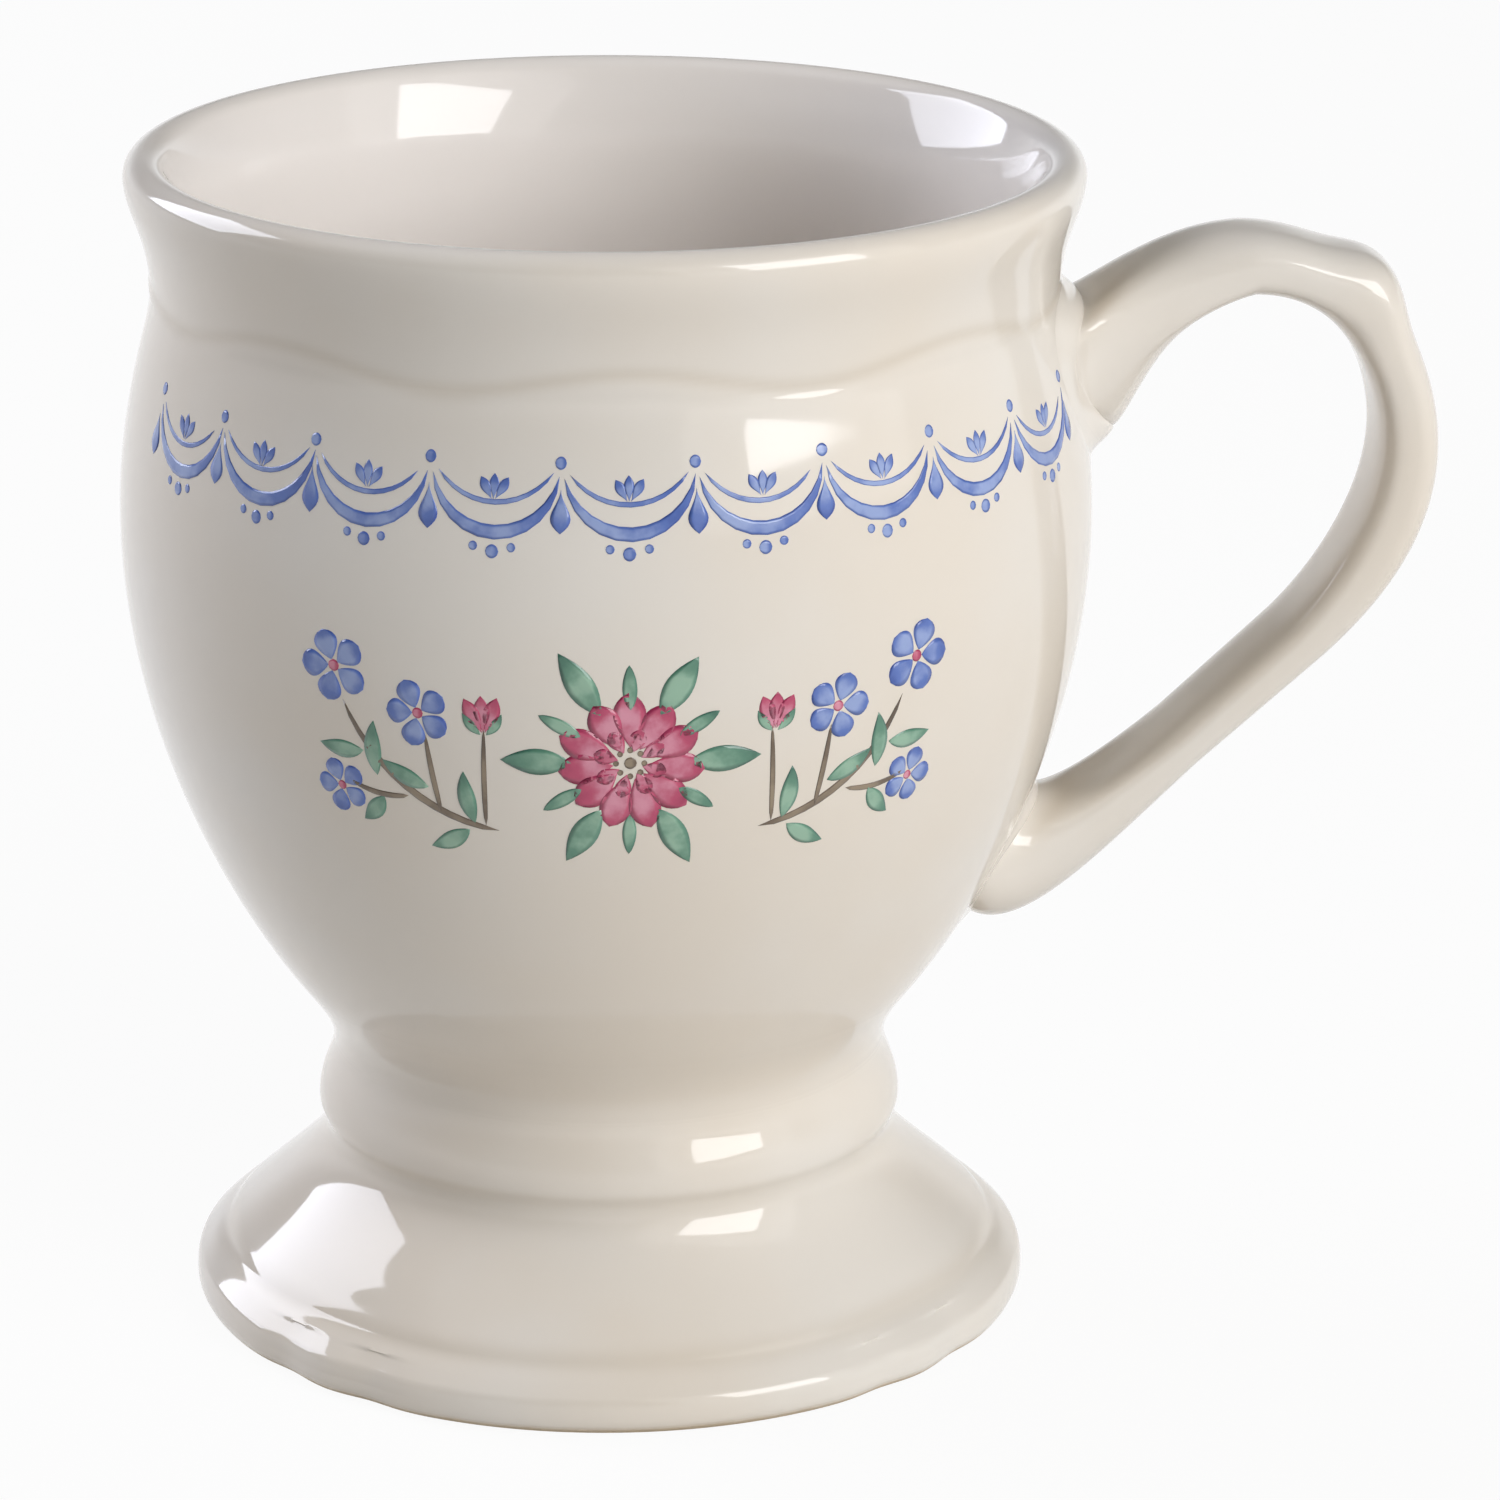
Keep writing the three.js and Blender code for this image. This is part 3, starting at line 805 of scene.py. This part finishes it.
# Brushwork
class Brushwork:
    """Strokes of one paint, laid out flat: across from the front's middle, and up from the table."""

    LABELS = ("heading", "length", "width", "bend", "crest", "fullness", "turn")

    def __init__(self, name):
        self.name = name
        self.places = []
        self.values = []

    def stroke(self, across, up, heading, length, width, bend=0.0, crest=1.0, fullness=1.0):
        """A stroke with a heading and a bend in degrees. A crest above 1 moves its widest place on."""
        for turn in (-90.0, 90.0):
            self.places.append((across * MM, up * MM, 0))
            way, curve, face = (math.radians(angle) for angle in (heading, bend + LEAST_BEND, turn))
            self.values.append((way, length * MM, width * MM, curve, crest, fullness, face))

    def dot(self, across, up, size):
        self.stroke(across - size / 2, up, 0, size, size, fullness=0.5)

    def ring(self, across, up, count, start, length, width, first=90.0, crest=1.4, fullness=0.7):
        """Petals round a place."""
        for number in range(count):
            heading = first + 360 * number / count
            turn = math.radians(heading)
            self.stroke(across + start * math.cos(turn), up + start * math.sin(turn),
                        heading, length, width, crest=crest, fullness=fullness)

    def swag(self, across, up, span, depth, width, fullness):
        """A hanging arc from one place to another at the same height."""
        bend = 4 * math.atan(2 * depth / span)
        length = span / 2 / math.sin(bend / 2) * bend
        bend = math.degrees(bend)
        self.stroke(across, up, -bend / 2, length, width, bend, fullness=fullness)

    def painted_on(self, bowl, finish):
        piece = piece_from(self.name, self.places)
        for label, numbers in zip(self.LABELS, zip(*self.values)):
            point_values(piece, label, numbers)
        values = {
            "Axis": AXIS_X,
            "Radius": BELLY_RADIUS * MM,
            "Lift": PAINT_LIFT * MM,
            "Steps": STROKE_STEPS,
            "Unsteadiness": math.radians(HAND_UNSTEADINESS),
            "Seed": HAND_SEED,
            "Weld": WELD * MM,
            "Bowl": bowl,
            "Finish": finish,
        }
        brushed(Recipe(self.name, values)).made_on(piece, PAINT_BODY * MM)
        finished(piece, "glazed_body")


def brushed(recipe):
    """Draws a stroke from each point and lays it round the bowl."""
    luck = recipe.step("FunctionNodeRandomValue", {"Seed": recipe["Seed"]}, data_type="FLOAT")
    points = recipe.stored(recipe["Geometry"], "chance", recipe.field(luck, 1) * 2.0 - 1.0)
    inputs = {"Size X": 1.0, "Size Y": 2.0, "Vertices X": recipe["Steps"] + 1, "Vertices Y": 5}
    sheet = recipe.step("GeometryNodeMeshGrid", inputs)
    x, y, _ = recipe.position()
    sheet = recipe.stored(sheet, "along", x + 0.5)
    sheet = recipe.stored(sheet, "across", y)
    inputs = {"Points": points, "Instance": sheet, "Scale": (0.0, 0.0, 0.0)}
    strokes = recipe.step("GeometryNodeInstanceOnPoints", inputs)
    strokes = recipe.step("GeometryNodeRealizeInstances", {"Geometry": strokes})
    strokes = recipe.moved(strokes, on_bowl(recipe, *stroke_place(recipe)))
    recipe.end(recipe.welded(strokes))
    return recipe


def stroke_place(recipe):
    """A point's flat place, from its place along and across its stroke."""
    along = recipe.attribute("along")
    bend = recipe.attribute("bend")
    length = recipe.attribute("length") * (1.0 + recipe.attribute("chance") * LENGTH_UNSTEADINESS)
    phase = bend * along
    sine = recipe.math("SINE", phase)
    cosine = recipe.math("COSINE", phase)
    swell = recipe.math("SINE", recipe.math("POWER", along, recipe.attribute("crest")) * math.pi)
    swell = recipe.math("POWER", recipe.math("MAXIMUM", swell, 0.0), recipe.attribute("fullness"))
    side = recipe.attribute("across") * recipe.attribute("width") * swell * 0.5
    ahead = length * sine / bend - side * sine
    aside = length * (1.0 - cosine) / bend + side * cosine
    heading = recipe.attribute("heading") + recipe.attribute("chance") * recipe["Unsteadiness"]
    turn_sine = recipe.math("SINE", heading)
    turn_cosine = recipe.math("COSINE", heading)
    across, up, _ = recipe.position()
    across = across + ahead * turn_cosine - aside * turn_sine
    up = up + ahead * turn_sine + aside * turn_cosine
    return across, up


def on_bowl(recipe, across, up):
    """The place on the bowl's side for a flat place, a little proud of it."""
    angle = across / recipe["Radius"] + recipe.attribute("turn")
    inward = recipe.joined(0.0 - recipe.math("COSINE", angle), 0.0 - recipe.math("SINE", angle), 0.0)
    far = recipe["Radius"] * 2.0
    x = recipe["Axis"] + recipe.math("COSINE", angle) * far
    y = recipe.math("SINE", angle) * far
    inputs = {"Object": recipe["Bowl"]}
    target = recipe.step("GeometryNodeObjectInfo", inputs, transform_space="RELATIVE")
    inputs = {
        "Target Geometry": target.outputs["Geometry"],
        "Source Position": recipe.joined(x, y, up),
        "Ray Direction": inward,
        "Ray Length": 1.0,
    }
    ray = recipe.step("GeometryNodeRaycast", inputs)
    inputs = {0: ray.outputs["Hit Normal"], "Scale": recipe["Lift"]}
    proud = recipe.step("ShaderNodeVectorMath", inputs, operation="SCALE")
    inputs = {0: ray.outputs["Hit Position"], 1: proud.outputs[0]}
    return recipe.step("ShaderNodeVectorMath", inputs, operation="ADD").outputs[0]


def paint_border(blue):
    """Swags with drops and beads, round the shoulder."""
    start = -BORDER_SWAGS * BORDER_PITCH / 2
    for number in range(BORDER_SWAGS):
        across = start + number * BORDER_PITCH
        middle = across + BORDER_PITCH / 2
        blue.swag(across + 0.3, BORDER_HEIGHT, BORDER_PITCH - 0.6, 4.7, 1.25, 0.8)
        blue.swag(across + 0.8, BORDER_HEIGHT + 0.3, BORDER_PITCH - 1.6, 2.5, 0.45, 0.35)
        blue.dot(middle, BORDER_HEIGHT - 6.3, 1.2)
        blue.dot(middle - 1.7, BORDER_HEIGHT - 5.9, 0.8)
        blue.dot(middle + 1.7, BORDER_HEIGHT - 5.9, 0.8)
        for lean in (-32, 0, 32):
            blue.stroke(middle - FAN_GAP * lean, BORDER_HEIGHT - 1.9, 90 + lean, 2.2, 0.9, crest=1.4)
    for number in range(BORDER_SWAGS + 1):
        across = start + number * BORDER_PITCH
        blue.stroke(across, BORDER_HEIGHT - 0.9, -90, 3.8, 1.8, crest=1.7)
        blue.dot(across, BORDER_HEIGHT + 1.3, 1.1)


def paint_middle_flower(rose, leaves, stems):
    """One round flower with leaves all round it."""
    leaves.ring(0, FLOWER_HEIGHT, 6, 5.2, 6.4, 2.5, first=0.0, crest=0.9, fullness=0.9)
    leaves.ring(0, FLOWER_HEIGHT, 6, 5.0, 4.0, 1.3, first=30.0, crest=0.9)
    rose.ring(0, FLOWER_HEIGHT, 11, 1.5, 5.0, 2.9)
    rose.ring(0, FLOWER_HEIGHT, 8, 1.1, 2.3, 1.5, first=75.0)
    stems.dot(0, FLOWER_HEIGHT, 1.1)
    for number in range(8):
        turn = math.tau * number / 8
        stems.dot(1.25 * math.cos(turn), FLOWER_HEIGHT + 1.25 * math.sin(turn), 0.55)


# A sprig's stems: across, up, heading, length, width and bend, in millimetres and degrees
SPRIG_STEMS = (
    (12.0, 58.6, 82, 18.5, 0.75, 62),
    (17.4, 60.0, 10, 7.6, 0.55, 4),
    (20.5, 61.2, 105, 6.5, 0.55, 40),
    (13.2, 59.0, -2, 9.2, 0.5, 2),
)
# Its leaves: across, up, heading and length
SPRIG_LEAVES = (
    (14.2, 59.2, 20, 5.0),
    (14.8, 58.5, 130, 4.6),
    (18.4, 62.3, 75, 4.8),
    (23.4, 62.8, 10, 5.2),
    (24.6, 65.0, 100, 4.6),
    (23.0, 60.8, 150, 3.8),
)
# Its flowers: across, up and size
SPRIG_FLOWERS = ((18.9, 69.3, 1.0), (27.0, 72.6, 1.08), (27.4, 61.2, 0.86))
BUD_ACROSS = 12.9
BUD_HEIGHT = 68.0


def paint_side_sprig(side, rose, blue, leaves, stems):
    """A curved stem with three small flowers and a bud, to one side of the middle flower."""
    def heading(angle):
        return 90 - side * angle

    for across, up, angle, length, width, bend in SPRIG_STEMS:
        stems.stroke(side * across, up, heading(angle), length, width, side * bend, 0.8, 0.4)
    for across, up, size in SPRIG_FLOWERS:
        blue.ring(side * across, up, 5, 0.5 * size, 2.6 * size, 2.3 * size,
                  first=heading(20), fullness=0.6)
        rose.dot(side * across, up, 1.0 * size)
    for across, up, angle, length in SPRIG_LEAVES:
        leaves.stroke(side * across, up, heading(angle), length, 1.7, side * 24, 0.9, 0.9)
    for lean in (-24, 0, 24):
        across = side * (BUD_ACROSS + FAN_GAP * lean)
        rose.stroke(across, BUD_HEIGHT, heading(lean + 2), 3.4, 1.5, crest=1.3)
    for lean in (-48, 52):
        across = side * (BUD_ACROSS + FAN_GAP * lean)
        leaves.stroke(across, BUD_HEIGHT - 0.2, heading(lean), 2.5, 0.9, side * lean * 0.5)


def paint_bowl(bowl):
    border = Brushwork("border_brushwork")
    rose = Brushwork("rose_brushwork")
    blue = Brushwork("small_flower_brushwork")
    leaves = Brushwork("leaf_brushwork")
    stems = Brushwork("stem_brushwork")
    paint_border(border)
    paint_middle_flower(rose, leaves, stems)
    for side in (-1, 1):
        paint_side_sprig(side, rose, blue, leaves, stems)
    border.painted_on(bowl, paint_finish("blue line paint", BLUE_DEEP, BLUE_MIDDLE, BLUE_PALE))
    rose.painted_on(bowl, paint_finish("rose paint", ROSE_DEEP, ROSE_MIDDLE, ROSE_PALE))
    blue.painted_on(bowl, paint_finish("blue petal paint", BLUE_DEEP, BLUE_MIDDLE, BLUE_PALE))
    leaves.painted_on(bowl, paint_finish("leaf paint", LEAF_DEEP, LEAF_MIDDLE, LEAF_PALE))
    stems.painted_on(bowl, paint_finish("stem paint", STEM_DEEP, STEM_MIDDLE, STEM_PALE))


# Finishes
def linear(red, green, blue):
    """A colour written as 0 to 255 per channel, as the shader wants it."""
    shares = [channel / 255 for channel in (red, green, blue)]
    return tuple(s / 12.92 if s <= 0.04045 else ((s + 0.055) / 1.055) ** 2.4 for s in shares) + (1.0,)


class Finish(Tree):
    """A material that is put together one step at a time."""

    def __init__(self, name):
        self.material = bpy.data.materials.new(name)
        self.material.use_nodes = True
        super().__init__(self.material.node_tree)
        self.shader = self.nodes.nodes["Principled BSDF"]
        self.place = self.step("ShaderNodeTexCoord").outputs["Object"]

    def noise(self, scale, detail=3.0):
        inputs = {"Vector": self.place, "Scale": scale, "Detail": detail}
        return self.field(self.step("ShaderNodeTexNoise", inputs), "Fac")

    def gloss(self):
        """The roughness of the glaze, which is not quite the same all over."""
        return GLOSS + self.noise(GLOSS_SCALE) * GLOSS_SPREAD

    def mixed(self, share, first, second):
        inputs = {0: share, 6: first, 7: second}
        return self.step("ShaderNodeMix", inputs, data_type="RGBA").outputs[2]

    def set(self, **values):
        for name, value in values.items():
            self.plug(self.shader.inputs[name.replace("_", " ")], value)

    def bump(self, height, distance, strength):
        inputs = {"Height": height, "Distance": distance, "Strength": strength}
        self.set(Normal=self.step("ShaderNodeBump", inputs).outputs[0])


IVORY_WARM = linear(230, 220, 206)
IVORY_COOL = linear(232, 226, 217)
# Painted light: a lighter, cooler ivory for the inside
INSIDE_PAINTED_LIGHT = linear(240, 234, 228)
# Tan for creases: pooled glaze and painted shade
POOLED_GLAZE_AND_SHADE = linear(192, 176, 152)
SPECK = linear(150, 112, 74)
BARE_CLAY = linear(203, 184, 156)
GLOSS = 0.04
GLOSS_SPREAD = 0.05
GLOSS_SCALE = 60.0
GLAZE_IOR = 1.5
POOL_AND_SHADE_DEPTH = 0.5
SPECK_SCALE = 70.0
SPECK_INNER = 0.012
SPECK_OUTER = 0.026
SPECK_CHANCE = 0.93
SKIN_DEPTH = 0.00012
SKIN_STRENGTH = 0.4
BARE_FROM = 0.0012
BARE_BELOW = 0.0004
BARE_RAGGEDNESS = 0.0003
BARE_ROUGHNESS = 0.7


def glaze_finish(name, has_bare_ring=False):
    """Glossy ivory glaze: cloudy tone, a few iron specks, a skin that is not quite even, a tan of
    pooled glaze and painted shade in creases, and a lighter, cooler inside that is painted light.
    """
    finish = Finish(name)
    cloud = finish.eased(finish.noise(22.0), 0.35, 0.65)
    colour = finish.mixed(cloud, IVORY_WARM, IVORY_COOL)
    cells = finish.step("ShaderNodeTexVoronoi", {"Vector": finish.place, "Scale": SPECK_SCALE})
    lot = finish.split(cells.outputs["Color"])[0]
    dot = 1.0 - finish.eased(finish.field(cells, "Distance"), SPECK_INNER, SPECK_OUTER)
    speck = dot * finish.math("GREATER_THAN", lot, SPECK_CHANCE)
    colour = finish.mixed(speck, colour, SPECK)
    # Painted light: the inside is lighter and cooler than the outside
    lining = finish.step("ShaderNodeAttribute", attribute_name="lining").outputs["Fac"]
    colour = finish.mixed(lining, colour, INSIDE_PAINTED_LIGHT)
    # Painted shade: creases, grooves and the handle's crooks go tan, partly pooled glaze, partly shade
    pool = finish.field(finish.step("ShaderNodeAttribute", attribute_name="pool"), "Fac")
    colour = finish.mixed(pool * POOL_AND_SHADE_DEPTH, colour, POOLED_GLAZE_AND_SHADE)
    rough = finish.gloss()
    skin = finish.noise(160.0, 2.0) * 0.35 + finish.noise(45.0, 1.0)
    if has_bare_ring:
        _, _, height = finish.split(finish.place)
        ragged = height + (finish.noise(400.0) - 0.5) * BARE_RAGGEDNESS
        bare = 1.0 - finish.eased(ragged, BARE_BELOW, BARE_FROM)
        colour = finish.mixed(bare, colour, BARE_CLAY)
        rough = rough + bare * BARE_ROUGHNESS
    finish.set(Base_Color=colour, Roughness=rough, IOR=GLAZE_IOR)
    finish.bump(skin, SKIN_DEPTH, SKIN_STRENGTH)
    return finish.material


BLUE_DEEP = linear(58, 84, 160)
BLUE_MIDDLE = linear(92, 118, 188)
BLUE_PALE = linear(150, 168, 214)
ROSE_DEEP = linear(150, 38, 78)
ROSE_MIDDLE = linear(190, 74, 108)
ROSE_PALE = linear(222, 150, 170)
LEAF_DEEP = linear(58, 104, 88)
LEAF_MIDDLE = linear(96, 142, 120)
LEAF_PALE = linear(150, 186, 162)
STEM_DEEP = linear(78, 66, 56)
STEM_MIDDLE = linear(112, 96, 80)
STEM_PALE = linear(150, 134, 112)


def paint_finish(name, deep, middle, pale):
    """Thin paint under the glaze: it pools at the stroke's end and margins, and the wash is uneven."""
    finish = Finish(name)
    along = finish.field(finish.step("ShaderNodeAttribute", attribute_name="along"), "Fac")
    across = finish.field(finish.step("ShaderNodeAttribute", attribute_name="across"), "Fac")
    margin = finish.eased(finish.math("ABSOLUTE", across), 0.55, 1.0)
    wash = finish.noise(380.0, 4.0)
    pooled = margin * 0.35 + wash * 0.9 - 0.25
    tone = pooled + finish.eased(finish.math("ABSOLUTE", along - 0.35), 0.1, 0.65) * 0.35
    colour = finish.mixed(finish.eased(tone, 0.1, 0.45), pale, middle)
    colour = finish.mixed(finish.eased(tone, 0.4, 0.85), colour, deep)
    finish.set(Base_Color=colour, Roughness=finish.gloss(), IOR=GLAZE_IOR)
    return finish.material


# Stage
CAMERA_PLACE = Vector((-0.03945, -0.5333, 0.2258))
CAMERA_YAW = math.radians(3.93)
CAMERA_PITCH = math.radians(17.99)
CAMERA_ROLL = math.radians(0.21)
CAMERA_LENS = 143.74
SENSOR = 36.0
FLOOR_SIZE = 8.0
FLOOR_PALE = (0.71, 0.70, 0.675, 1.0)
FLOOR_PALER = (0.75, 0.74, 0.715, 1.0)
FLOOR_WHITENESS = 0.94
ROOM_COLOUR = (0.97, 0.985, 1.0, 1.0)
ROOM_DIMNESS = 0.06
HORIZON_GLOW = 0.94
HORIZON_RISE = 0.28
AIM = Vector((AXIS_X, 0, 0.06))


def make_camera():
    data = bpy.data.cameras.new("camera")
    data.lens = CAMERA_LENS
    data.sensor_width = SENSOR
    camera = bpy.data.objects.new("camera", data)
    bpy.context.scene.collection.objects.link(camera)
    level = math.cos(CAMERA_PITCH)
    ahead = Vector((math.sin(CAMERA_YAW), math.cos(CAMERA_YAW), 0)) * level
    forward = ahead - Vector((0, 0, math.sin(CAMERA_PITCH)))
    right = Vector((math.cos(CAMERA_YAW), -math.sin(CAMERA_YAW), 0))
    up = right.cross(forward)
    rolled_right = right * math.cos(CAMERA_ROLL) + up * math.sin(CAMERA_ROLL)
    rolled_up = up * math.cos(CAMERA_ROLL) - right * math.sin(CAMERA_ROLL)
    axes = Matrix((rolled_right, rolled_up, -forward)).transposed()
    camera.matrix_world = Matrix.Translation(CAMERA_PLACE) @ axes.to_4x4()
    bpy.context.scene.camera = camera


def lamp(name, azimuth, elevation, distance, width, height, watts, colour=(1, 1, 1)):
    """A soft box at an azimuth from the front towards the handle's side, facing the mug."""
    data = bpy.data.lights.new(name, "AREA")
    data.shape = "RECTANGLE"
    data.size = width
    data.size_y = height
    data.energy = watts
    data.color = colour
    light = bpy.data.objects.new(name, data)
    turn = math.radians(azimuth)
    rise = math.radians(elevation)
    away = Vector((math.sin(turn) * math.cos(rise), -math.cos(turn) * math.cos(rise), math.sin(rise)))
    facing = away.to_track_quat("Z", "Y").to_matrix().to_4x4()
    light.matrix_world = Matrix.Translation(AIM + away * distance) @ facing
    bpy.context.scene.collection.objects.link(light)


def sight(tree, mirrored=1.0):
    """1 for what the camera sees, a share for what it sees mirrored or through glass, 0 for light."""
    path = tree.step("ShaderNodeLightPath")
    bounced = tree.field(path, "Is Glossy Ray") + tree.field(path, "Is Transmission Ray")
    return tree.math("MINIMUM", tree.field(path, "Is Camera Ray") + bounced * mirrored, 1.0)


def make_lights():
    lamp("window_right", azimuth=45, elevation=26, distance=1.2, width=0.62, height=0.64,
         watts=8.2, colour=(0.98, 0.985, 1.0))
    lamp("right_wall", azimuth=45, elevation=27, distance=1.6, width=1.8, height=1.4,
         watts=6.9, colour=(1.0, 0.985, 0.96))
    lamp("window_left", azimuth=-121, elevation=28, distance=1.2, width=0.78, height=0.66,
         watts=10.5, colour=(0.86, 0.89, 1.0))
    lamp("room_light", azimuth=0, elevation=80, distance=1.5, width=2.4, height=2.0, watts=4.0)
    world = bpy.data.worlds.new("room")
    world.use_nodes = True
    tree = Tree(world.node_tree)
    background = world.node_tree.nodes["Background"]
    _, _, rise = tree.split(tree.step("ShaderNodeTexCoord").outputs["Generated"])
    glow = 1.0 - tree.eased(rise, 0.0, HORIZON_RISE)
    tree.plug(background.inputs["Color"], ROOM_COLOUR)
    tree.plug(background.inputs["Strength"], ROOM_DIMNESS + sight(tree, glow) * HORIZON_GLOW)
    bpy.context.scene.world = world


def floor_finish():
    """Pale paper. Seen directly or in a reflection it is white, apart from the mug's shadow."""
    finish = Finish("pale paper")
    grain = finish.mixed(finish.noise(900.0), FLOOR_PALE, FLOOR_PALER)
    finish.set(Base_Color=grain, Roughness=0.9, Specular_IOR_Level=0.1)
    white = finish.step("ShaderNodeEmission", {"Color": (1.0, 1.0, 1.0, 1.0), "Strength": 1.0})
    lit = finish.step("ShaderNodeMixShader", {0: FLOOR_WHITENESS, 1: finish.shader, 2: white})
    either = finish.step("ShaderNodeMixShader", {0: sight(finish), 1: finish.shader, 2: lit})
    finish.plug(finish.nodes.nodes["Material Output"].inputs["Surface"], either)
    return finish.material


def make_floor():
    half = FLOOR_SIZE / 2
    corners = [(-half, -half, 0), (half, -half, 0), (half, half, 0), (-half, half, 0)]
    floor = piece_from("paper_floor", corners, [(0, 1, 2, 3)])
    floor.data.materials.append(floor_finish())


def make_stage():
    scene = bpy.context.scene
    scene.view_settings.view_transform = "Standard"
    make_camera()
    make_lights()
    make_floor()


make_stage()
glaze = glaze_finish("ivory glaze")
foot_glaze = glaze_finish("ivory glaze over bare foot ring", True)
bowl = make_bowl(glaze)
make_foot(foot_glaze)
make_handle(glaze)
make_waist_slip(glaze)
paint_bowl(bowl)
